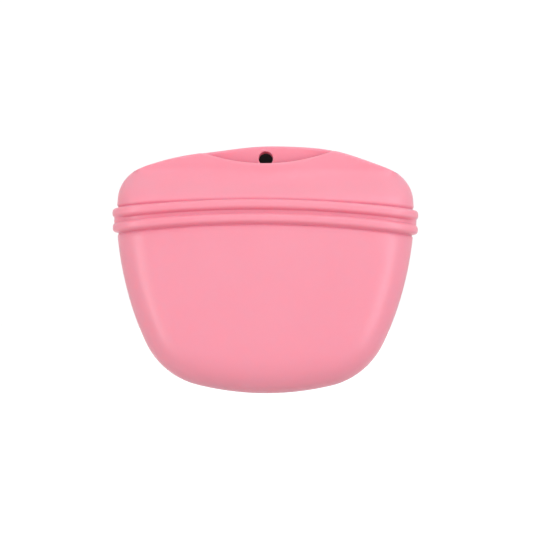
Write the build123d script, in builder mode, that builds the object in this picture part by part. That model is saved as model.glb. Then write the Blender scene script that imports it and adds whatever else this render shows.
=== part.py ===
from build123d import *
import os
from math import cos, radians, sin, tan

os.makedirs("parts", exist_ok=True)

# Treat pouch: a silicone tub squeezed flat at its magnetic mouth, with a sprung belt clip on its back.
# The frame's origin is the middle of the belt gap. The front faces -Y, and +Z is up.

# Body, in millimetres
HEIGHT = 112.7
RIM = 88.0  # where the tub ends and the hood starts
HALF_WIDTH = 67.6  # at the rim, without ribs
BELLY_DEPTH = 43.0  # at the bottom, before rounding
RIM_DEPTH = 20.0
FRONT_ROUND = 16.0
BACK_ROUND = 2.5
WALL = 3.0

RIB_OUT = 2.0
RIB_HEIGHT = 4.4
RIB_HEIGHTS = (79.0, 85.3)
RIB_ARCH = 6.2  # how far a rib 80 from the middle would hang below its middle
RIB_ROUND = 1.3
RIB_STOP = 5.5  # how far before the back a rib ends

# Mouth
LEAN = 12.0  # both lips lean back by this angle
BACK_LIP = 4.5
FRONT_LIP = 4.2
LIP_GAP = 0.3
LIP_HALF = 52.0  # half the length of lip that swings
SIDE_GAP = 0.4
MOUTH_HALF = 57.0
HOOD_SLOPE = 38.0  # front panel's rise from the horizontal
FOLD = 1.5  # radius of the folding bead
FOLD_GAP = 0.3
HANG_HOLE = 3.3  # radius
HANG_HEIGHT = 106.4
NOTCH_HALF = 30.0
NOTCH_SHOULDER = 1.4  # above the hang hole's axis, at the notch's ends
NOTCH_DEPTH = 3.55  # below the axis, in the middle
MAGNET = (20.0, 4.0, 2.0)
MAGNET_X = 32.0
MAGNET_HEIGHT = 103.2
POCKET_ROOM = 0.1

# Belt clip
BELT_GAP = 5.5
BELT_HEIGHT = 64.0  # belt gap's middle, over the pouch's lowest point
PLATE = 3.0
PLATE_HALF = 17.0
PLATE_FOOT = 44.0
PLATE_TOP = 87.6
PIN_BACK = 7.5  # pin's axis behind the pouch
PIN_HEIGHT = 81.5
PIN = 1.25  # radius
PIN_ROOM = 0.06
PIN_HEAD = 2.1
HEAD = 0.8
HEAD_GAP = 0.05
EAR_IN = 13.4
EAR = 3.0
EAR_ROUND = 3.1
KNUCKLE = 3.0  # radius
KNUCKLE_IN = 5.4
KNUCKLE_OUT = 13.1
LEVER_HALF = 16.0
LEVER = 2.7
LEVER_BACK = 10.7  # its inner face at the pin
TAB_TOP = 110.0
TAB_BACK = 13.4
TAB_ROUND = 9.0
JAW_FOOT = 45.5
JAW_ROUND = 4.0
EAR_NOTCH = 16.0
EDGE_ROUND = 0.6
GRIP_HEIGHTS = (96.0, 99.5, 103.0)
GRIP = 0.9  # radius
GRIP_HALF = 9.0
JAW_ROOM = 0.5
SCREW_X = 10.0
SCREW_HEIGHT = 68.0
SCREW = 1.5
SCREW_ROOM = 0.1
SCREW_BITE = 2.4  # how far it goes into the clip's plate
SCREW_HEAD = 2.8
SCREW_HEAD_HEIGHT = 1.7
BACKING = 2.0
BACKING_SIZE = (34.0, 26.0)
COIL = 2.4
WIRE = 0.45
TURNS = 3.5
COIL_PITCH = 1.05
PLATE_LEG = (1.5, 6.0)  # how far each leg leans from the coil, and how long it is
LEVER_LEG = (0.3, 10.0)

# Planes for sketches: sizes are from the pouch's lowest point and from its flat back
BACK_Y = -BELT_GAP / 2 - PLATE
FRONT = Plane(origin=(0, BACK_Y, -BELT_HEIGHT), x_dir=(1, 0, 0), z_dir=(0, -1, 0))
SIDE = Plane(origin=(0, BACK_Y, -BELT_HEIGHT), x_dir=(0, 1, 0), z_dir=(1, 0, 0))
REACH = 80.0  # further than the body reaches from its middle, sideways
LEAN_TAN = tan(radians(LEAN))
LEAN_COS = cos(radians(LEAN))
LEAN_SIN = sin(radians(LEAN))


def lip_line(height, inward):
    """A point of the side view on the line that lies a distance in from the back lip's back face."""
    return ((height - RIM) * LEAN_TAN - inward / LEAN_COS, height)


def lip_plane(height, inward):
    """A plane square to the lips, facing front and up, on the line a distance in from the back."""
    y, z = lip_line(height, inward)
    return Plane(
        origin=(0, BACK_Y + y, z - BELT_HEIGHT),
        x_dir=(1, 0, 0),
        z_dir=(0, -LEAN_COS, LEAN_SIN),
    )


def panel_line(height, inset):
    """A point on the hood panel's front face, or on the line inset from it."""
    run = (height - RIM) / tan(radians(HOOD_SLOPE))
    return (-RIM_DEPTH + run + inset / sin(radians(HOOD_SLOPE)), height)


def knee(inset, inward):
    """Where the hood panel's line meets the lip's line."""
    start = panel_line(RIM, inset)[0] - lip_line(RIM, inward)[0]
    rise = -start / (1 / tan(radians(HOOD_SLOPE)) - LEAN_TAN)
    return panel_line(RIM + rise, inset)


def front_outline():
    """The pouch's outline from the front, hood included."""
    with BuildLine() as outline:
        bottom = ThreePointArc((-30.5, 3.7), (0, 0), (30.5, 3.7))
        corner = TangentArc(bottom @ 1, (53.8, 22.6), tangent=bottom % 1)
        low_side = TangentArc(corner @ 1, (61.4, 41.9), tangent=corner % 1)
        high_side = TangentArc(low_side @ 1, (67.3, 69.3), tangent=low_side % 1)
        brow = TangentArc(high_side @ 1, (HALF_WIDTH, 88.5), tangent=high_side % 1)
        shoulder = TangentArc(brow @ 1, (56.9, 102.2), tangent=brow % 1)
        mirror([corner, low_side, high_side, brow, shoulder], about=Plane.YZ)
        ThreePointArc((-56.9, 102.2), (0, HEIGHT), (56.9, 102.2))
    make_face(outline.edges())


def tub_form(grow):
    """The tub's body up to the rim, grown all round by a distance."""
    slope = (BELLY_DEPTH - RIM_DEPTH) / RIM
    with BuildPart() as form:
        with BuildSketch(FRONT):
            front_outline()
            if grow:
                offset(amount=grow)
        extrude(amount=BELLY_DEPTH * 2, both=True)
        with BuildSketch(SIDE):
            Polygon(
                (0, -REACH),
                (0, 2 * REACH),
                (-BELLY_DEPTH + slope * 2 * REACH, 2 * REACH),
                (-BELLY_DEPTH - slope * REACH, -REACH),
                align=None,
            )
            if grow:
                offset(amount=grow, kind=Kind.INTERSECTION)
        extrude(amount=REACH, both=True, mode=Mode.INTERSECT)
        split(bisect_by=Plane.XY.offset(RIM - BELT_HEIGHT), keep=Keep.BOTTOM)
        ahead = form.faces().sort_by(Axis.Y)[0].edges()
        fillet(ahead - form.faces().sort_by(Axis.Z)[-1].edges(), radius=FRONT_ROUND + grow)
        if grow >= 0:
            behind = form.faces().sort_by(Axis.Y)[-1].edges()
            fillet(behind - form.faces().sort_by(Axis.Z)[-1].edges(), radius=BACK_ROUND + grow)
    return form.part


def rib_form(height):
    """One rib as a slab with rounded edges, arched like the mouth. It ends short of the flat back."""
    with BuildPart() as rib:
        add(tub_form(RIB_OUT))
        with BuildSketch(FRONT.offset(RIB_STOP)):
            with BuildLine():
                low, high = height - RIB_HEIGHT / 2, height + RIB_HEIGHT / 2
                under = ThreePointArc((-REACH, low - RIB_ARCH), (0, low), (REACH, low - RIB_ARCH))
                over = ThreePointArc((-REACH, high - RIB_ARCH), (0, high), (REACH, high - RIB_ARCH))
                Line(under @ 0, over @ 0)
                Line(under @ 1, over @ 1)
            make_face()
        extrude(amount=2 * BELLY_DEPTH, mode=Mode.INTERSECT)
        flats = rib.faces().sort_by(Axis.Z)
        rims = flats[0].edges() + flats[-1].edges()
        at_back = rib.faces().sort_by(Axis.Y)[-1].edges()
        fillet(rims - at_back, radius=RIB_ROUND)
    return rib.part


def hood_form(inset):
    """The hood's body over the rim, shrunk all round by a distance. The back shrinks by the lip's wall."""
    inward = BACK_LIP if inset else 0
    lips = BACK_LIP + LIP_GAP + (0 if inset else FRONT_LIP)
    with BuildPart() as form:
        with BuildSketch(FRONT):
            front_outline()
            if inset:
                offset(amount=-inset)
        extrude(amount=BELLY_DEPTH * 2, both=True)
        with BuildSketch(SIDE):
            Polygon(
                lip_line(RIM, inward),
                lip_line(RIM + REACH, inward),
                lip_line(RIM + REACH, lips),
                knee(inset, lips),
                panel_line(RIM, inset),
                align=None,
            )
        extrude(amount=REACH, both=True, mode=Mode.INTERSECT)
        with BuildSketch(Plane.XY.offset(RIM - BELT_HEIGHT)) as plan:
            with Locations((0, BACK_Y)):
                Rectangle(2 * (HALF_WIDTH + 1 - inset), 2 * (RIM_DEPTH - inset))
            fillet(plan.vertices().group_by(Axis.Y)[0], radius=FRONT_ROUND - inset)
        extrude(amount=REACH, mode=Mode.INTERSECT)
    return form.part


def save(builder, name):
    """Writes one node."""
    builder.part.label = name
    export_step(builder.part, f"parts/{name}.step")


# Silicone tub, with the hood's closed ends
with BuildPart() as pouch_shell:
    add(tub_form(0))
    for rib_height in RIB_HEIGHTS:
        add(rib_form(rib_height))
    add(tub_form(-WALL), mode=Mode.SUBTRACT)
    with BuildPart(mode=Mode.PRIVATE) as ends:
        add(hood_form(0))
        add(hood_form(WALL), mode=Mode.SUBTRACT)
        with BuildSketch(SIDE):
            Polygon(
                lip_line(RIM + WALL, BACK_LIP),
                lip_line(RIM + REACH, BACK_LIP),
                lip_line(RIM + REACH, BACK_LIP + LIP_GAP),
                lip_line(RIM + WALL, BACK_LIP + LIP_GAP),
                align=None,
            )
        extrude(amount=MOUTH_HALF, both=True, mode=Mode.SUBTRACT)
        with Locations((0, 0, RIM - BELT_HEIGHT)):
            Box(2 * LIP_HALF, 3 * BELLY_DEPTH, REACH, mode=Mode.SUBTRACT)
    add(ends.part)
    # the swinging lip's ends need room beside them
    with BuildSketch(SIDE):
        Polygon(
            panel_line(RIM, -1),
            panel_line(RIM + REACH, -1),
            lip_line(RIM + REACH, BACK_LIP),
            lip_line(RIM, BACK_LIP),
            align=None,
        )
    extrude(amount=LIP_HALF + SIDE_GAP, both=True, mode=Mode.SUBTRACT)
    with BuildSketch(FRONT):
        with Locations((-SCREW_X, SCREW_HEIGHT), (SCREW_X, SCREW_HEIGHT)):
            Circle(SCREW + SCREW_ROOM)
    extrude(amount=2 * WALL, mode=Mode.SUBTRACT)
save(pouch_shell, "pouch_shell")

# Back lip, with the hang hole and its magnets' pockets
with BuildPart() as back_lip:
    with BuildSketch(FRONT):
        front_outline()
    extrude(amount=BELLY_DEPTH, both=True)
    with BuildSketch(SIDE):
        Polygon(
            lip_line(RIM, 0),
            lip_line(RIM + REACH, 0),
            lip_line(RIM + REACH, BACK_LIP),
            lip_line(RIM, BACK_LIP),
            align=None,
        )
    extrude(amount=LIP_HALF, both=True, mode=Mode.INTERSECT)
    with BuildSketch(lip_plane(HANG_HEIGHT, BACK_LIP / 2)):
        Circle(HANG_HOLE)
    extrude(amount=2 * BACK_LIP, both=True, mode=Mode.SUBTRACT)
    for x in (-MAGNET_X, MAGNET_X):
        with Locations(lip_plane(MAGNET_HEIGHT, BACK_LIP / 2).location * Location((x, 0, 0))):
            Box(*(size + POCKET_ROOM for size in MAGNET), mode=Mode.SUBTRACT)
save(back_lip, "back_lip")

# Swinging front lip: hood panel, folding bead, finger notch and its magnets' pockets
FOLD_HEIGHT = RIM + FOLD_GAP + FOLD
FOLD_POINT = panel_line(FOLD_HEIGHT, WALL / 2)
SLOPE_SIN = sin(radians(HOOD_SLOPE))
SLOPE_COS = cos(radians(HOOD_SLOPE))
FRONT_LIP_MIDDLE = BACK_LIP + LIP_GAP + FRONT_LIP / 2
with BuildPart() as front_lip:
    with BuildSketch(FRONT):
        front_outline()
    extrude(amount=BELLY_DEPTH, both=True)
    with BuildSketch(SIDE):
        Polygon(
            (FOLD_POINT[0] - FOLD * SLOPE_SIN, FOLD_POINT[1] + FOLD * SLOPE_COS),
            knee(0, BACK_LIP + LIP_GAP + FRONT_LIP),
            lip_line(RIM + REACH, BACK_LIP + LIP_GAP + FRONT_LIP),
            lip_line(RIM + REACH, BACK_LIP + LIP_GAP),
            knee(WALL, BACK_LIP + LIP_GAP),
            (FOLD_POINT[0] + FOLD * SLOPE_SIN, FOLD_POINT[1] - FOLD * SLOPE_COS),
            align=None,
        )
        with Locations(FOLD_POINT):
            Circle(FOLD)
    extrude(amount=LIP_HALF, both=True, mode=Mode.INTERSECT)
    with BuildSketch(lip_plane(HANG_HEIGHT, BACK_LIP / 2)):
        with BuildLine():
            edge = ThreePointArc(
                (-NOTCH_HALF, NOTCH_SHOULDER), (0, -NOTCH_DEPTH), (NOTCH_HALF, NOTCH_SHOULDER)
            )
            Polyline(edge @ 1, (NOTCH_HALF * 1.2, REACH), (-NOTCH_HALF * 1.2, REACH), edge @ 0)
        make_face()
    extrude(amount=REACH, mode=Mode.SUBTRACT)
    for x in (-MAGNET_X, MAGNET_X):
        with Locations(lip_plane(MAGNET_HEIGHT, FRONT_LIP_MIDDLE).location * Location((x, 0, 0))):
            Box(*(size + POCKET_ROOM for size in MAGNET), mode=Mode.SUBTRACT)
save(front_lip, "front_lip")

# Bar magnets sealed in the lips
for side, x in (("left", -MAGNET_X), ("right", MAGNET_X)):
    with BuildPart() as back_magnet:
        with Locations(lip_plane(MAGNET_HEIGHT, BACK_LIP / 2).location * Location((x, 0, 0))):
            Box(*MAGNET)
    save(back_magnet, f"back_magnet_{side}")
    with BuildPart() as front_magnet:
        with Locations(lip_plane(MAGNET_HEIGHT, FRONT_LIP_MIDDLE).location * Location((x, 0, 0))):
            Box(*MAGNET)
    save(front_magnet, f"front_magnet_{side}")

# Clip's fixed plate, with two ears for the pin
with BuildPart() as clip_plate:
    with BuildSketch(FRONT.offset(-PLATE)):
        with Locations((0, (PLATE_FOOT + PLATE_TOP) / 2)):
            RectangleRounded(2 * PLATE_HALF, PLATE_TOP - PLATE_FOOT, 5)
    extrude(amount=PLATE)
    fillet(clip_plate.faces().sort_by(Axis.Y)[-1].edges(), radius=EDGE_ROUND)
    for end in (EAR_IN, -EAR_IN - EAR):
        with BuildSketch(SIDE.offset(end)):
            with Locations((PLATE - 0.5, PIN_HEIGHT)):
                Rectangle(1, 11)
            with Locations((PIN_BACK, PIN_HEIGHT)):
                Circle(EAR_ROUND)
            make_hull()
        extrude(amount=EAR)
    with BuildSketch(SIDE):
        with Locations((PIN_BACK, PIN_HEIGHT)):
            Circle(PIN + PIN_ROOM)
    extrude(amount=REACH, both=True, mode=Mode.SUBTRACT)
    with BuildSketch(FRONT):
        with Locations((-SCREW_X, SCREW_HEIGHT), (SCREW_X, SCREW_HEIGHT)):
            Circle(SCREW + SCREW_ROOM)
    extrude(amount=-SCREW_BITE - SCREW_ROOM, mode=Mode.SUBTRACT)
save(clip_plate, "clip_plate")

# Clip's lever: thumb tab above the pin, jaw below it
TAB_SLOPE = (TAB_BACK - LEVER_BACK) / (TAB_TOP + 1 - PIN_HEIGHT - 5)
with BuildPart() as clip_lever:
    with BuildSketch(SIDE):
        Polygon(
            (TAB_BACK, TAB_TOP + 1),
            (LEVER_BACK, PIN_HEIGHT + 5),
            (LEVER_BACK, PIN_HEIGHT - 6),
            (PLATE + BELT_GAP, PIN_HEIGHT - 12),
            (PLATE + BELT_GAP, JAW_FOOT + 7),
            (PLATE + JAW_ROOM, JAW_FOOT + 2.5),
            (PLATE + JAW_ROOM, JAW_FOOT),
            (PLATE + BELT_GAP - 1, JAW_FOOT),
            (PLATE + BELT_GAP + LEVER, JAW_FOOT + 4),
            (PLATE + BELT_GAP + LEVER, PIN_HEIGHT - 13),
            (LEVER_BACK + LEVER, PIN_HEIGHT - 7),
            (LEVER_BACK + LEVER, PIN_HEIGHT + 5),
            (TAB_BACK + LEVER, TAB_TOP + 1),
            align=None,
        )
    extrude(amount=LEVER_HALF, both=True)
    with BuildSketch(FRONT) as face:
        with Locations((0, (JAW_FOOT + TAB_TOP) / 2)):
            Rectangle(2 * LEVER_HALF, TAB_TOP - JAW_FOOT)
        fillet(face.vertices().group_by(Axis.Y)[-1], radius=TAB_ROUND)
        fillet(face.vertices().group_by(Axis.Y)[0], radius=JAW_ROUND)
        with Locations((-LEVER_HALF, PIN_HEIGHT), (LEVER_HALF, PIN_HEIGHT)):
            Rectangle(2 * (LEVER_HALF - KNUCKLE_OUT), EAR_NOTCH, mode=Mode.SUBTRACT)
    extrude(amount=-REACH, mode=Mode.INTERSECT)
    notch_top = PIN_HEIGHT + EAR_NOTCH / 2 - BELT_HEIGHT
    tab_edges = clip_lever.edges().filter_by(lambda edge: edge.center().Z > notch_top + 0.2)
    fillet(tab_edges, radius=EDGE_ROUND)
    with BuildSketch(SIDE):
        for height in GRIP_HEIGHTS:
            rise = height - PIN_HEIGHT - 5
            with Locations((LEVER_BACK + LEVER + TAB_SLOPE * rise, height)):
                Circle(GRIP)
    extrude(amount=GRIP_HALF, both=True)
    for side in (1, -1):
        with BuildSketch(SIDE.offset(side * (KNUCKLE_IN + KNUCKLE_OUT) / 2)):
            with Locations((LEVER_BACK + 0.5, PIN_HEIGHT)):
                Rectangle(1, 2 * KNUCKLE + 2)
            with Locations((PIN_BACK, PIN_HEIGHT)):
                Circle(KNUCKLE)
            make_hull()
        extrude(amount=(KNUCKLE_OUT - KNUCKLE_IN) / 2, both=True)
    with BuildSketch(SIDE):
        with Locations((PIN_BACK, PIN_HEIGHT)):
            Circle(PIN + PIN_ROOM)
    extrude(amount=REACH, both=True, mode=Mode.SUBTRACT)
save(clip_lever, "clip_lever")

# Riveted hinge pin
with BuildPart() as clip_pin:
    with BuildSketch(SIDE):
        with Locations((PIN_BACK, PIN_HEIGHT)):
            Circle(PIN)
    extrude(amount=EAR_IN + EAR + HEAD_GAP, both=True)
    for end in (EAR_IN + EAR + HEAD_GAP, -EAR_IN - EAR - HEAD_GAP - HEAD):
        with BuildSketch(SIDE.offset(end)):
            with Locations((PIN_BACK, PIN_HEIGHT)):
                Circle(PIN_HEAD)
        extrude(amount=HEAD)
save(clip_pin, "clip_pin")

# Torsion spring round the pin, one leg on the plate and one on the lever
HALF_COIL = TURNS * COIL_PITCH / 2
COIL_PLANE = Plane(
    origin=(-HALF_COIL, BACK_Y + PIN_BACK, PIN_HEIGHT - BELT_HEIGHT),
    x_dir=(0, -1, 0),
    z_dir=(1, 0, 0),
)
with BuildPart() as upright_spring:
    with BuildLine() as wire:
        coil = Helix(COIL_PITCH, TURNS * COIL_PITCH, COIL)
        Line(coil @ 0, coil @ 0 + Vector(PLATE_LEG[0], -PLATE_LEG[1], 0))
        Line(coil @ 1, coil @ 1 + Vector(-LEVER_LEG[0], -LEVER_LEG[1], 0))
    for edge in wire.edges():
        with BuildSketch(Plane(origin=edge @ 0, z_dir=edge % 0)):
            Circle(WIRE)
        sweep(path=edge)
with BuildPart() as clip_spring:
    with Locations(COIL_PLANE.location):
        add(upright_spring.part)
save(clip_spring, "clip_spring")

# Plate inside the tub that spreads the screws' pull
with BuildPart() as backing_plate:
    with BuildSketch(FRONT.offset(WALL)):
        with Locations((0, SCREW_HEIGHT)):
            RectangleRounded(*BACKING_SIZE, 4)
        with Locations((-SCREW_X, SCREW_HEIGHT), (SCREW_X, SCREW_HEIGHT)):
            Circle(SCREW + SCREW_ROOM, mode=Mode.SUBTRACT)
    extrude(amount=BACKING)
save(backing_plate, "backing_plate")

# Two screws, from inside the tub into the clip's plate
with BuildPart() as clip_screws:
    with BuildSketch(FRONT.offset(-SCREW_BITE)):
        with Locations((-SCREW_X, SCREW_HEIGHT), (SCREW_X, SCREW_HEIGHT)):
            Circle(SCREW)
    extrude(amount=SCREW_BITE + WALL + BACKING)
    with BuildSketch(FRONT.offset(WALL + BACKING)):
        with Locations((-SCREW_X, SCREW_HEIGHT), (SCREW_X, SCREW_HEIGHT)):
            Circle(SCREW_HEAD)
    extrude(amount=SCREW_HEAD_HEIGHT)
    crowns = clip_screws.edges().filter_by(GeomType.CIRCLE).group_by(Axis.Y)[0]
    fillet(crowns, radius=0.6)
    with BuildSketch(FRONT.offset(WALL + BACKING + SCREW_HEAD_HEIGHT)):
        with Locations((-SCREW_X, SCREW_HEIGHT), (SCREW_X, SCREW_HEIGHT)):
            Rectangle(3.2, 0.8)
            Rectangle(0.8, 3.2)
    extrude(amount=-1.0, mode=Mode.SUBTRACT)
save(clip_screws, "clip_screws")
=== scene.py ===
import math

import bmesh
import bpy
import numpy as np
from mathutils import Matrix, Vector


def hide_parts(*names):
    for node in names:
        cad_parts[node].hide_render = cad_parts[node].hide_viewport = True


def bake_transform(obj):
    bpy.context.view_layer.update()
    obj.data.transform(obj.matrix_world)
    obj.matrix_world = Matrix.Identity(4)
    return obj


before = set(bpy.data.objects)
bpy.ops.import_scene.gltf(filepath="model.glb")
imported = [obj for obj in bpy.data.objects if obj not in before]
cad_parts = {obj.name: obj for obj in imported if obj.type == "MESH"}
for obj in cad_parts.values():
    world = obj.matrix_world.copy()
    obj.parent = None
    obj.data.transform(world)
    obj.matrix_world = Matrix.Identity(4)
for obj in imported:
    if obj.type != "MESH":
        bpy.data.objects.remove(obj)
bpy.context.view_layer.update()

# The silicone skin is worked out in millimetres: x from the middle, y from the flat back
# (the front is negative) and z from the pouch's lowest point. to_row() puts it in the frame.
BACK_Y = -5.75
FOOT_Z = -64.0

# Front view
BOTTOM_END = (30.5, 3.7)  # where the bottom's shallow curve turns into the sides
SIDE_HEADING = 0.2415  # radians: the outline's direction there
SIDE_STOPS = ((53.8, 22.6), (61.4, 41.9), (67.3, 69.3), (67.6, 88.5), (56.9, 102.2))
MOUTH_END = 100.32  # height at which the mouth's opening stops at each side
TOP = 112.7  # top of the mouth's arc
ARC = 159.4  # its radius
ARC_HALF = 57.0  # half its width
WAVES = ((1.05, 30, 15), (-1.1, -22, 17))  # height, middle and half width of each swell of the top edge
NOTCH_BOTTOM = 104.5  # the notch's lowest height
NOTCH_MIDDLE = -1
NOTCH_HALF = 28.0
NOTCH_RISE = 4.7  # how much higher its edge is at NOTCH_HALF from its middle
NOTCH_CORNER = 0.3  # softness of the notch's two corners
HOLE = 3.3  # radius of the hang hole
HOLE_HEIGHT = 106.4
HOLE_EDGE = 0.55  # rounding of the hole's edges

# Side view
RIM = 88.0  # height where the tub ends and the lips begin
BELLY_DEPTH = 43.0
RIM_DEPTH = 20.0
WALL = 3.0
WALL_SLANT = 1.03  # the sloping front wall is this much thicker along y than squarely
FRONT_ROUND = 17.0
BACK_ROUND = 3.0
FRONT_SHARE, BACK_SHARE = 0.72, 0.22  # the most of the depth that each rounding may take
BOW = 1.0  # how far the front panel bulges
LEAN = math.radians(12.0)  # how far the lips lean back
BACK_LIP = 4.5
FRONT_LIP = 4.2
LIP_GAP = 0.3
BEND_LOW = 86.0  # height where the front wall begins to bend into the lip
BEND_HIGH, BEND_HIGH_INSIDE = 102.5, 101.0  # and where it has become the lip
BACK_BEND = (84.0, 92.0)  # the same for the back wall
NOTCH_OPEN = 2.8  # how far the lip stands open over the notch
NOTCH_OPEN_HALF = 21.0  # half width of that opening
LIP_BASE = 92.0  # the lip stands open, and the panel is no longer bowed, above this height
RIM_ROOM = (0.15, 1.35)  # height of the rounded rim at the mouth's ends, and what its middle adds
RIM_SQUARE = 0.55  # the rim's section: 1 is a half ellipse, less is squarer

# Ribs
RIB_ARCH = (4.8, 3.9)  # how much lower the bottom and the top of RIB_ZONE are at the sides
RIB_HEIGHTS = (79.0, 85.25)
RIB_HALF = 2.25
RIB_OUT = 2.0
RIB_FILL = 0.6  # how much of their valley fills up where they reach the sides
CREASE = 0.55  # depth of the dip beside each rib
CREASE_AWAY, CREASE_HALF = 0.35, 0.5  # its distance from the rib, and its half width
RIB_ZONE = (76, 89)  # the rings between these heights follow the ribs' arch

# The skin's grid
MIDDLE = 88  # points across the middle of a ring's front or back
CORNER = 12  # points in each of its corners
STRIP = 7  # points round each side, between front and back

# The clip's spring
PIN = (7.5, 81.5)  # y and z of the hinge pin's axis
COIL = 2.4  # radius of the coil's middle line
WIRE = 0.45  # radius of the wire
WIRE_SIDES = 14
TURNS = 3.5
TURN_POINTS = 32
PITCH = 1.05
PLATE_LEG = (0, -1.5, 6.0)  # from the coil's first end to the leg's tip
LEVER_LEG = (0, 0.3, 10.0)  # from its other end

# The studio, in metres
FLOOR_HEIGHT = -0.16
FLOOR_HALF = 6
CAMERA_DISTANCE = 1.4
FRAMED_PLANE = 0.012  # how far in front of the frame's origin the framed plane is
VIEW_WIDTH = 0.2439  # width of that plane that fills the picture
SENSOR = 36.0


def to_row(points):
    """Millimetres of the skin to metres of the frame."""
    p = np.array(points, float)
    p[..., 1] += BACK_Y
    p[..., 2] += FOOT_Z
    return p * 0.001


def from_row(points):
    """Metres of the frame to millimetres of the skin."""
    p = points * 1000
    p[..., 1] -= BACK_Y
    p[..., 2] -= FOOT_Z
    return p


def smooth(t):
    t = np.clip(t, 0.0, 1.0)
    return t * t * (3 - 2 * t)


def tangent_arc(start, heading, end, count=60):
    """Points on the arc that leaves start along heading and ends at end, and its last heading."""
    start, end = np.array(start, float), np.array(end, float)
    heading = np.array(heading, float) / np.linalg.norm(heading)
    chord = end - start
    left = np.array((-heading[1], heading[0]))
    side = chord @ left
    if abs(side) < 1e-9:
        return np.linspace(start, end, count), heading
    radius = chord @ chord / (2 * side)
    centre = start + left * radius
    spread = 2 * math.atan2(side, chord @ heading)
    angles = np.linspace(0, spread, count)
    arm = start - centre
    cos, sin = np.cos(angles), np.sin(angles)
    points = centre + np.stack((arm[0] * cos - arm[1] * sin, arm[0] * sin + arm[1] * cos), axis=1)
    turn = np.array((math.cos(spread), math.sin(spread)))
    last = (heading[0] * turn[0] - heading[1] * turn[1], heading[0] * turn[1] + heading[1] * turn[0])
    return points, last


def side_outline():
    """The right half of the outline from the bottom curve's end to the mouth's corner."""
    heading = (math.cos(SIDE_HEADING), math.sin(SIDE_HEADING))
    points, start = [], BOTTOM_END
    for stop in SIDE_STOPS:
        arc, heading = tangent_arc(start, heading, stop)
        points.append(arc if not points else arc[1:])
        start = stop
    return np.vstack(points)


SIDE = side_outline()
SHOULDER = SIDE[SIDE[:, 1] > MOUTH_END][::-1]
SIDE = SIDE[SIDE[:, 1] <= MOUTH_END]
ALONG = np.linspace(0, 1, 60)[:, None]
BOTTOM = np.hstack((BOTTOM_END[0] * ALONG, BOTTOM_END[1] * ALONG**2))
ABOVE = np.array([(SIDE[-1, 0], z) for z in np.arange(SIDE[-1, 1] + 0.5, TOP + 10, 0.5)])
EDGE = np.vstack((BOTTOM, SIDE, ABOVE))  # the front and back faces are rounded along this


def edge_distance(x, z):
    """How far points of the front view are from the outline, the top left out."""
    a, b = EDGE[:-1], EDGE[1:]
    seg = b - a
    length = (seg**2).sum(1)
    px, pz = np.abs(x).ravel(), z.ravel()
    best = np.full(px.shape, 1e9)
    for i in range(len(a)):
        dx, dz = px - a[i, 0], pz - a[i, 1]
        t = np.clip((dx * seg[i, 0] + dz * seg[i, 1]) / length[i], 0, 1)
        best = np.minimum(best, (dx - t * seg[i, 0]) ** 2 + (dz - t * seg[i, 1]) ** 2)
    return np.sqrt(best).reshape(np.shape(x))


def lip_line(z, inward):
    """Side view of a lip: how far it has leant back at a height, moved in from the rear face."""
    return (z - RIM) * math.tan(LEAN) - inward / math.cos(LEAN)


def top_outline(x):
    """Height of the mouth's top edge, with the slight wave that soft silicone takes."""
    across = np.abs(x)
    arc = TOP - ARC + np.sqrt(ARC**2 - np.minimum(across, ARC_HALF) ** 2)
    shoulder = np.interp(across, SHOULDER[:, 0], SHOULDER[:, 1])
    wave = sum(rise * np.exp(-(((x - middle) / half) ** 2)) for rise, middle, half in WAVES)
    return np.where(across < SHOULDER[0, 0], arc, shoulder) + wave


def notch_outline(x):
    """Height of the front lip's edge: the lower of the crescent and the top edge, softly joined."""
    crescent = NOTCH_BOTTOM + NOTCH_RISE * ((x - NOTCH_MIDDLE) / NOTCH_HALF) ** 2
    top = top_outline(x)
    return -NOTCH_CORNER * np.logaddexp(-crescent / NOTCH_CORNER, -top / NOTCH_CORNER)


def hermite(z, z0, y0, m0, z1, y1, m1):
    """A smooth bend from y0 at height z0 to y1 at z1, with slopes m0 and m1 there."""
    h = z1 - z0
    t = np.clip((z - z0) / h, 0, 1)
    return (
        (2 * t**3 - 3 * t**2 + 1) * y0
        + (t**3 - 2 * t**2 + t) * h * m0
        + (-2 * t**3 + 3 * t**2) * y1
        + (t**3 - t**2) * h * m1
    )


def profile(z, inside):
    """The front wall's distance from the back, in side view."""
    slope = (BELLY_DEPTH - RIM_DEPTH) / RIM
    inset = WALL * WALL_SLANT if inside else 0.0
    inward = BACK_LIP + LIP_GAP + (0.0 if inside else FRONT_LIP)
    high = BEND_HIGH_INSIDE if inside else BEND_HIGH
    tub = -BELLY_DEPTH + slope * z + inset
    low_y = -BELLY_DEPTH + slope * BEND_LOW + inset
    bend = hermite(z, BEND_LOW, low_y, slope, high, lip_line(high, inward), math.tan(LEAN))
    return np.where(z < BEND_LOW, tub, np.where(z > high, lip_line(z, inward), bend))


def back_profile(z, inside):
    """The back wall's y in side view: flat, then leaning back as the lip."""
    start, end = BACK_BEND
    thick = WALL + (BACK_LIP - WALL) * smooth((z - start) / 10) if inside else 0.0 * z
    bend = hermite(z, start, 0.0, 0.0, end, lip_line(end, 0.0), math.tan(LEAN))
    back = np.where(z < start, 0.0, np.where(z > end, lip_line(z, 0.0), bend))
    return back - thick


def bulge(x, z):
    """How far the front lip stands open over the finger notch."""
    return NOTCH_OPEN * np.exp(-((x / NOTCH_OPEN_HALF) ** 2)) * smooth((z - LIP_BASE) / 11)


def rounding(d, radius, power=2.25):
    """How far a face falls back at distance d from the outline."""
    t = np.clip(1 - d / radius, 0, 1)
    return radius * (1 - (1 - t**power) ** (1 / power))


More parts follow.
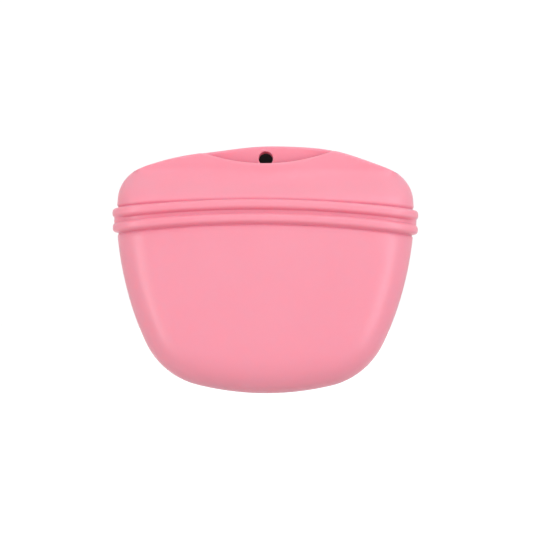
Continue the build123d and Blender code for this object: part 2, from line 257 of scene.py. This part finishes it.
def faces_at(x, z, inside):
    """Front and back y of the skin over points of the front view."""
    d = edge_distance(x, z)
    if inside:
        d = np.maximum(d - WALL, 0)
    front, back = profile(z, inside), back_profile(z, inside)
    depth = back - front
    front_radius = np.minimum(FRONT_ROUND - (WALL if inside else 0), FRONT_SHARE * depth)
    back_radius = np.minimum(BACK_ROUND, BACK_SHARE * depth)
    bow = BOW * (1 - (x / 68) ** 2) * smooth((LIP_BASE - z) / 30) * smooth(z / 20)
    front = front + rounding(d, front_radius) - bow - bulge(x, z)
    back = back - rounding(d, back_radius)
    return front, back


def ring_rows(inside):
    """Each ring's height in the middle and at its end, and its end's distance from the middle."""
    if inside:
        low = TOP * (1 - np.cos(np.linspace(0, 1, 12) * math.pi / 6)) * 1.1
        rows = np.concatenate((low, np.linspace(low[-1] + 3, 84, 22), np.linspace(85.5, TOP, 46)))
    else:
        low = 16 * (1 - np.cos(np.linspace(0, 1, 13) * math.pi / 2))
        tub = np.linspace(18, 75.6, 28)
        ribs = np.linspace(76, 88.4, 66)
        rows = np.concatenate((low, tub, ribs, np.linspace(89, TOP, 48)))
    heights = (0, 16, 40, *RIB_ZONE, TOP)
    ends = (BOTTOM_END[1], 17.5, 38.5, RIB_ZONE[0] - RIB_ARCH[0], RIB_ZONE[1] - RIB_ARCH[1], SIDE[-1, 1])
    end_z = np.interp(rows, heights, ends)
    end_x = np.interp(end_z, SIDE[:, 1], SIDE[:, 0])
    if inside:
        step = np.gradient(SIDE, axis=0)
        normal = np.stack((-step[:, 1], step[:, 0]), axis=1)
        normal /= np.linalg.norm(normal, axis=1)[:, None]
        moved = SIDE + normal * WALL
        index = np.arange(len(SIDE))
        along = np.interp(end_z, SIDE[:, 1], index)
        end_x = np.interp(along, index, moved[:, 0])
        end_z = np.interp(along, index, moved[:, 1])
        rows = rows + WALL * smooth((30 - rows) / 30)
    return rows, end_x, end_z


def columns(end_x):
    """Positions across a ring, closer together near its ends."""
    reach = min(16.0, end_x * 0.5)
    bend = reach * (1 - np.cos(np.linspace(0, 1, CORNER) * math.pi / 2))
    right = end_x - bend
    middle = np.linspace(-right[-1], right[-1], MIDDLE)
    return np.concatenate((-right[:-1], middle, right[:-1][::-1]))


def arch(x, end_x):
    """How far down the mouth's arc a point is: 0 in the middle and 1 at end_x."""
    return (ARC - np.sqrt(ARC**2 - x**2)) / (ARC - math.sqrt(ARC**2 - end_x**2))


def rim_room(share):
    """How far the last ring stays below the lip's edge, which the rounded rim fills."""
    return RIM_ROOM[0] + RIM_ROOM[1] * (1 - smooth((np.abs(share) - 0.82) / 0.17))


def stretch(z, x, share, crown, outline):
    """Moves the top of a sheet so that its last ring follows an outline."""
    plain = TOP - (TOP - crown[1]) * arch(np.minimum(np.abs(x), crown[0]), crown[0])
    crown_share = np.minimum(np.abs(x) / crown[0], 1)
    high = outline(x) - rim_room(crown_share)
    low = LIP_BASE + 1
    moved = (high - low) / (plain - low) - 1
    keep = 1 - smooth((np.abs(share) - 0.86) / 0.13)
    return z + np.maximum(z - low, 0) * moved * keep


def ring_loop(row, end_x, end_z, inside, crown):
    """One closed ring of the skin: the front, round one end, back along the rear, round the other."""
    x = columns(end_x)
    share = np.clip(x / end_x, -1, 1)
    level = np.clip((row - RIB_ZONE[1]) / (TOP - RIB_ZONE[1]), 0, 1)
    drop = (1 - level) * share**2 + level * arch(x, end_x)
    z = row - (row - end_z) * drop
    back_z = stretch(z, x, share, crown, top_outline)
    front_z = stretch(z, x, share, crown, notch_outline)
    front_y, _ = faces_at(x, front_z, inside)
    _, back_y = faces_at(x, back_z, inside)
    if inside:
        gap = lip_line(front_z, BACK_LIP + LIP_GAP) - bulge(x, front_z)
        front_y = np.where(front_z > 98, np.minimum(front_y, gap), front_y)
        mid = 0.5 * (front_y + back_y)
        front_y = np.minimum(front_y, mid - 0.05)
        back_y = np.maximum(back_y, mid + 0.05)
    front = np.stack((x, front_y, front_z), axis=1)
    back = np.stack((x, back_y, back_z), axis=1)[::-1]
    t = np.linspace(0, 1, STRIP + 2)[1:-1, None]
    right = front[-1] * (1 - t) + back[0] * t
    left = back[-1] * (1 - t) + front[0] * t
    return np.vstack((front, right, back, left))


def ring_normals(rings):
    """Outward normals of a grid of closed rings."""
    along = np.gradient(rings, axis=0)
    around = np.roll(rings, -1, axis=1) - np.roll(rings, 1, axis=1)
    normal = np.cross(around, along)
    normal /= np.maximum(np.linalg.norm(normal, axis=2), 1e-9)[..., None]
    return normal


def rib_swell(height, share):
    """How far the ribs stand out. The skin dips beside them; their valley fills up at the sides."""
    out = np.zeros(share.shape)
    for middle, away in zip(RIB_HEIGHTS, (-1, 1)):
        t = np.clip(np.abs(height - middle) / RIB_HALF, 0, 1)
        out += (1 - t**3) ** 0.7 * RIB_OUT
        beside = (height - middle - away * (RIB_HALF + CREASE_AWAY)) / CREASE_HALF
        out -= CREASE * np.exp(-(beside**2))
    between = (height > RIB_HEIGHTS[0]) & (height < RIB_HEIGHTS[1])
    fill = RIB_FILL * RIB_OUT * smooth((np.abs(share) - 0.94) / 0.06)
    return np.where(between, np.maximum(out, fill), out)


def rings(inside):
    """The middle heights of all rings of the outside or the inside, and the rings."""
    rows, end_x, end_z = ring_rows(inside)
    crown = (end_x[-1], end_z[-1])
    made = [ring_loop(row, a, b, inside, crown) for row, a, b in zip(rows, end_x, end_z)]
    return rows, np.array(made)


def skin_mesh():
    """The whole silicone moulding as one closed mesh: outside, rim and inside."""
    rows, outer = rings(False)
    normal = ring_normals(outer)
    fade = smooth((0.75 - normal[..., 1]) / 0.6)
    share = outer[..., 0] / np.abs(outer[..., 0]).max(axis=1, keepdims=True)
    outer = outer + normal * (rib_swell(rows[:, None], share) * fade)[..., None]
    inner = rings(True)[1][::-1]
    top = outer[-1]
    reach = rim_room(top[:, 0] / np.abs(top[:, 0]).max())[:, None]
    up = np.array((0, math.sin(LEAN), math.cos(LEAN)))
    rim = []
    for angle in np.linspace(0, math.pi, 11)[1:-1]:
        c, s = math.cos(angle), math.sin(angle)
        mix = 0.5 * (1 - np.sign(c) * abs(c) ** RIM_SQUARE)
        rim.append(top * (1 - mix) + inner[0] * mix + up * reach * abs(s) ** RIM_SQUARE)
    grid = np.concatenate((outer, np.array(rim), inner))
    count, around = grid.shape[:2]
    points = grid.reshape(-1, 3).tolist()
    quads = []
    for i in range(count - 1):
        for j in range(around):
            k = (j + 1) % around
            quads.append((i * around + j, i * around + k, (i + 1) * around + k, (i + 1) * around + j))
    wide = MIDDLE + 2 * (CORNER - 1)
    close_end(points, quads, 0, wide, around, True)
    close_end(points, quads, (count - 1) * around, wide, around, False)
    return points, quads


def close_end(points, quads, base, wide, around, flip):
    """Fills the bottom ring with a grid that joins its front row to its back row."""
    rows = [[base + j for j in range(wide)]]
    for s in range(STRIP):
        right = base + wide + s
        left = base + around - 1 - s
        row = [left]
        t = (s + 1) / (STRIP + 1)
        for j in range(1, wide - 1):
            a = np.array(points[base + j])
            b = np.array(points[base + wide + STRIP + wide - 1 - j])
            row.append(len(points))
            points.append((a * (1 - t) + b * t).tolist())
        row.append(right)
        rows.append(row)
    rows.append([base + wide + STRIP + wide - 1 - j for j in range(wide)])
    for lower, upper in zip(rows, rows[1:]):
        for j in range(wide - 1):
            quad = (lower[j], lower[j + 1], upper[j + 1], upper[j])
            quads.append(quad[::-1] if flip else quad)


def new_object(name, points, faces):
    """A smooth-shaded object from millimetres."""
    mesh = bpy.data.meshes.new(name)
    mesh.from_pydata([tuple(p) for p in to_row(points)], [], faces)
    mesh.validate()
    obj = bpy.data.objects.new(name, mesh)
    bpy.context.collection.objects.link(obj)
    for polygon in mesh.polygons:
        polygon.use_smooth = True
    return obj


points, quads = skin_mesh()
skin = new_object("silicone_skin", points, quads)
bm = bmesh.new()
bm.from_mesh(skin.data)
bmesh.ops.recalc_face_normals(bm, faces=bm.faces)
bm.to_mesh(skin.data)
bm.free()


def tube_faces(stations, sides):
    """Faces of a closed tube of rings that each have the same number of points."""
    faces = []
    for i in range(stations - 1):
        for k in range(sides):
            j = (k + 1) % sides
            faces.append((i * sides + k, i * sides + j, (i + 1) * sides + j, (i + 1) * sides + k))
    faces.append(tuple(range(sides))[::-1])
    faces.append(tuple(range((stations - 1) * sides, stations * sides)))
    return faces


def hole_cutter():
    """A spool that cuts the hang hole with softly rounded edges."""
    centre = np.array((0, lip_line(HOLE_HEIGHT, BACK_LIP / 2), HOLE_HEIGHT))
    half = BACK_LIP / 2
    stations = [(-half - 2.0, HOLE + HOLE_EDGE + 1.2)]
    for angle in np.linspace(0, math.pi / 2, 6):
        along = -half + HOLE_EDGE * (1 - math.cos(angle)) - 0.02
        stations.append((along, HOLE + HOLE_EDGE * (1 - math.sin(angle))))
    stations += [(-a, r) for a, r in stations[::-1]]
    sides = 72
    points = []
    axis = np.array((0, -math.cos(LEAN), math.sin(LEAN)))
    across = np.array((1, 0, 0))
    up = np.array((0, math.sin(LEAN), math.cos(LEAN)))
    for along, radius in stations:
        for s in range(sides):
            a = 2 * math.pi * s / sides
            points.append(centre + axis * along + across * radius * math.cos(a) + up * radius * math.sin(a))
    return new_object("hole_cutter", np.array(points), tube_faces(len(stations), sides))


cutter = hole_cutter()
cut = skin.modifiers.new("hole", "BOOLEAN")
cut.operation = "DIFFERENCE"
cut.solver = "EXACT"
cut.object = cutter
bpy.context.view_layer.objects.active = skin
bpy.ops.object.modifier_apply(modifier=cut.name)
bpy.data.objects.remove(cutter)
for polygon in skin.data.polygons:
    polygon.use_smooth = True


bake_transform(skin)
co = np.empty(len(skin.data.vertices) * 3, np.float64)
skin.data.vertices.foreach_get("co", co)
co = from_row(co.reshape(-1, 3))
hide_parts("pouch_shell", "back_lip", "front_lip")


def spring_path():
    """Points along the middle of the spring's wire, and how far each goes with the lever."""
    half = TURNS * PITCH / 2
    t = np.linspace(0, TURNS, int(TURNS * TURN_POINTS) + 1)
    a = 2 * math.pi * t
    coil = np.stack((PITCH * t - half, PIN[0] - COIL * np.cos(a), PIN[1] - COIL * np.sin(a)), axis=1)
    down = np.linspace(1, 0.1, 8)[:, None]
    up = np.linspace(0.1, 1, 12)[:, None]
    plate_leg = coil[0] + down * np.array(PLATE_LEG)
    lever_leg = coil[-1] + up * np.array(LEVER_LEG)
    share = np.concatenate((np.zeros(len(down)), t / TURNS, np.ones(len(up))))
    return np.vstack((plate_leg, coil, lever_leg)), share


def spring_piece():
    """The clip's spring: a coil with a leg toward the plate at one end and a leg toward the lever at the
    other.
    """
    path, share = spring_path()
    along = np.gradient(path, axis=0)
    along /= np.linalg.norm(along, axis=1)[:, None]
    side = np.array((1.0, 0, 0))
    points, shares = [], []
    for p, d, s in zip(path, along, share):
        side = side - d * (side @ d)
        side /= np.linalg.norm(side)
        other = np.cross(d, side)
        for k in range(WIRE_SIDES):
            a = 2 * math.pi * k / WIRE_SIDES
            points.append(p + WIRE * (math.cos(a) * side + math.sin(a) * other))
            shares.append(s)
    spring = new_object("wire_spring", np.array(points), tube_faces(len(path), WIRE_SIDES))
    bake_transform(spring)
    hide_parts("clip_spring")
    return spring


spring = spring_piece()


def node(tree, kind, **values):
    made = tree.nodes.new(kind)
    for key, value in values.items():
        setattr(made, key, value)
    return made


def new_material(name):
    mat = bpy.data.materials.new(name)
    mat.use_nodes = True
    return mat, mat.node_tree, mat.node_tree.nodes["Principled BSDF"]


def noise(tree, place, scale, detail):
    """Noise of a given fineness over a place, and the socket that holds it."""
    made = node(tree, "ShaderNodeTexNoise")
    made.inputs["Scale"].default_value = scale
    made.inputs["Detail"].default_value = detail
    tree.links.new(place, made.inputs["Vector"])
    return made.outputs["Fac"]


def colour_ramp(tree, source, low, high, start=0.0, end=1.0):
    ramp = node(tree, "ShaderNodeValToRGB")
    for element, position, colour in zip(ramp.color_ramp.elements, (start, end), (low, high)):
        element.position = position
        element.color = (*colour, 1)
    tree.links.new(source, ramp.inputs["Fac"])
    return ramp.outputs["Color"]


def map_range(tree, source, low=0.0, high=1.0, start=0.0, end=1.0, kind="LINEAR"):
    """Maps start..end of the source to low..high."""
    made = node(tree, "ShaderNodeMapRange", interpolation_type=kind)
    for key, value in (("From Min", start), ("From Max", end), ("To Min", low), ("To Max", high)):
        made.inputs[key].default_value = value
    tree.links.new(source, made.inputs["Value"])
    return made.outputs["Result"]


def relief(tree, source, strength, distance, shader):
    bump = node(tree, "ShaderNodeBump")
    bump.inputs["Strength"].default_value = strength
    bump.inputs["Distance"].default_value = distance
    tree.links.new(source, bump.inputs["Height"])
    tree.links.new(bump.outputs["Normal"], shader.inputs["Normal"])


def silicone_material():
    """Satin pink silicone: soft light through it, a fine moulded grain, and painted shade that darkens the
    pink to a deep red in hollows and creases.
    """
    mat, tree, shader = new_material("pink_silicone")
    place = node(tree, "ShaderNodeTexCoord").outputs["Object"]
    cloud = noise(tree, place, 14.0, 3.0)
    grain = noise(tree, place, 1500.0, 2.0)
    pink = colour_ramp(tree, cloud, (0.91, 0.300, 0.385), (0.925, 0.322, 0.41), 0.3, 0.7)
    # Painted shade: an ambient-occlusion mask darkens the base colour in creases, the ribs' grooves, the
    # hang hole and the mouth's slot
    painted_shade_ao = node(tree, "ShaderNodeAmbientOcclusion", samples=8, only_local=True)
    painted_shade_ao.inputs["Distance"].default_value = 0.01
    openness = map_range(tree, painted_shade_ao.outputs["AO"], start=-0.1, end=0.97)
    painted_shade_mix = node(tree, "ShaderNodeMix", data_type="RGBA")
    # deep red colour of the painted shade in the hollows
    painted_shade_mix.inputs["A"].default_value = (0.68, 0.10, 0.20, 1)
    tree.links.new(openness, painted_shade_mix.inputs["Factor"])
    tree.links.new(pink, painted_shade_mix.inputs["B"])
    tree.links.new(painted_shade_mix.outputs["Result"], shader.inputs["Base Color"])
    tree.links.new(map_range(tree, grain, 0.32, 0.40), shader.inputs["Roughness"])
    relief(tree, grain, 0.12, 0.0001, shader)
    shader.inputs["Subsurface Weight"].default_value = 0.5
    shader.inputs["Subsurface Radius"].default_value = (1.0, 0.3, 0.25)
    shader.inputs["Subsurface Scale"].default_value = 0.004
    shader.inputs["IOR"].default_value = 1.41
    shader.inputs["Sheen Weight"].default_value = 0.1
    shader.inputs["Sheen Roughness"].default_value = 0.5
    shader.inputs["Specular IOR Level"].default_value = 0.8
    return mat


def plastic_material():
    """Black moulded plastic with a fine spark-eroded texture."""
    mat, tree, shader = new_material("black_plastic")
    grain = noise(tree, node(tree, "ShaderNodeTexCoord").outputs["Object"], 900.0, 3.0)
    black = colour_ramp(tree, grain, (0.003, 0.003, 0.0033), (0.007, 0.007, 0.0075))
    tree.links.new(black, shader.inputs["Base Color"])
    tree.links.new(map_range(tree, grain, 0.38, 0.6), shader.inputs["Roughness"])
    relief(tree, grain, 0.35, 0.00012, shader)
    shader.inputs["Specular IOR Level"].default_value = 0.18
    return mat


def metal_material(name, dark, light, low, high, scale):
    """Drawn or plated metal: its marks are drawn out along the axis whose scale is small."""
    mat, tree, shader = new_material(name)
    shader.inputs["Metallic"].default_value = 1.0
    mapping = node(tree, "ShaderNodeMapping")
    mapping.inputs["Scale"].default_value = scale
    tree.links.new(node(tree, "ShaderNodeTexCoord").outputs["Object"], mapping.inputs["Vector"])
    marks = noise(tree, mapping.outputs["Vector"], 400.0, 4.0)
    tree.links.new(colour_ramp(tree, marks, dark, light), shader.inputs["Base Color"])
    tree.links.new(map_range(tree, marks, low, high), shader.inputs["Roughness"])
    return mat


def paint(obj, material):
    obj.data.materials.clear()
    obj.data.materials.append(material)


silicone = silicone_material()
plastic = plastic_material()
steel = metal_material("steel", (0.42, 0.42, 0.43), (0.62, 0.62, 0.63), 0.22, 0.4, (0.2, 4, 4))
nickel = metal_material("nickel", (0.5, 0.47, 0.42), (0.7, 0.66, 0.6), 0.15, 0.3, (1, 1, 1))

paint(skin, silicone)
for name in ("clip_plate", "clip_lever", "backing_plate"):
    paint(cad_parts[name], plastic)
paint(spring, steel)
for name in ("clip_pin", "clip_screws"):
    paint(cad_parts[name], steel)
for name in ("back_magnet_left", "back_magnet_right", "front_magnet_left", "front_magnet_right"):
    paint(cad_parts[name], nickel)


def maths(tree, operation, first, second):
    """A maths node over two sockets or numbers."""
    made = node(tree, "ShaderNodeMath", operation=operation)
    for socket, value in zip(made.inputs, (first, second)):
        if isinstance(value, (int, float)):
            socket.default_value = value
        else:
            tree.links.new(value, socket)
    return made.outputs["Value"]


def floor_material():
    """Pale grey floor with painted light: it glows white by emission in a widening strip behind the object.
    """
    mat, tree, shader = new_material("floor_paint")
    shader.inputs["Base Color"].default_value = (0.5, 0.5, 0.5, 1)
    shader.inputs["Roughness"].default_value = 0.9
    shader.inputs["Emission Color"].default_value = (1, 1, 1, 1)
    split = node(tree, "ShaderNodeSeparateXYZ")
    tree.links.new(node(tree, "ShaderNodeTexCoord").outputs["Object"], split.inputs["Vector"])
    x, y = split.outputs["X"], split.outputs["Y"]
    behind = map_range(tree, y, start=0.15, end=0.34, kind="SMOOTHSTEP")
    half_width = maths(tree, "ADD", maths(tree, "MULTIPLY", y, 0.16), 0.2)
    beside = maths(tree, "DIVIDE", maths(tree, "ABSOLUTE", x, 0.0), half_width)
    within = map_range(tree, beside, 1.0, 0.0, 0.75, 1.5, "SMOOTHSTEP")
    # Painted glow: emission strength rises in the strip, so the floor shines white there
    glow = map_range(tree, maths(tree, "MULTIPLY", behind, within), 0.18, 0.85)
    tree.links.new(glow, shader.inputs["Emission Strength"])
    return mat


def surroundings():
    """White behind the object, a softer grey elsewhere."""
    world = bpy.data.worlds.new("studio")
    world.use_nodes = True
    tree = world.node_tree
    split = node(tree, "ShaderNodeSeparateXYZ")
    tree.links.new(node(tree, "ShaderNodeTexCoord").outputs["Generated"], split.inputs["Vector"])
    glow = map_range(tree, split.outputs["Y"], 0.66, 1.02, 0.8, 0.985, "SMOOTHSTEP")
    tree.links.new(glow, tree.nodes["Background"].inputs["Color"])
    bpy.context.scene.world = world


def softbox(name, place, size, power, colour):
    """A rectangular lamp that faces the object."""
    data = bpy.data.lights.new(name, "AREA")
    data.shape = "RECTANGLE"
    data.size, data.size_y = size
    data.energy = power
    data.color = colour
    lamp = bpy.data.objects.new(name, data)
    lamp.location = place
    lamp.rotation_euler = (-Vector(place)).to_track_quat("-Z", "Y").to_euler()
    bpy.context.collection.objects.link(lamp)


def studio():
    mesh = bpy.data.meshes.new("floor")
    corners = ((-1, -1), (1, -1), (1, 1), (-1, 1))
    mesh.from_pydata([(x * FLOOR_HALF, y * FLOOR_HALF, FLOOR_HEIGHT) for x, y in corners], [], [range(4)])
    floor = bpy.data.objects.new("floor", mesh)
    floor.data.materials.append(floor_material())
    bpy.context.collection.objects.link(floor)
    surroundings()
    softbox("left", (-0.98, -0.82, 0.3), (0.5, 1.3), 5.9, (1.0, 0.99, 0.98))
    softbox("right", (0.98, -0.82, 0.3), (0.5, 1.3), 5.9, (0.99, 0.95, 1.0))
    softbox("above", (0.5, -0.5, 1.1), (0.9, 0.9), 3.1, (1.0, 0.99, 1.0))


def camera():
    """Level and straight ahead, very slightly rolled."""
    data = bpy.data.cameras.new("camera")
    data.sensor_width = SENSOR
    data.lens = SENSOR * (CAMERA_DISTANCE - FRAMED_PLANE) / VIEW_WIDTH
    data.clip_start, data.clip_end = 0.01, 50
    cam = bpy.data.objects.new("camera", data)
    cam.location = (0.0007, -CAMERA_DISTANCE, -0.0068)
    cam.rotation_euler = (math.radians(90), math.radians(-0.45), 0)
    bpy.context.collection.objects.link(cam)
    bpy.context.scene.camera = cam


studio()
camera()
bpy.context.scene.view_settings.view_transform = "Standard"
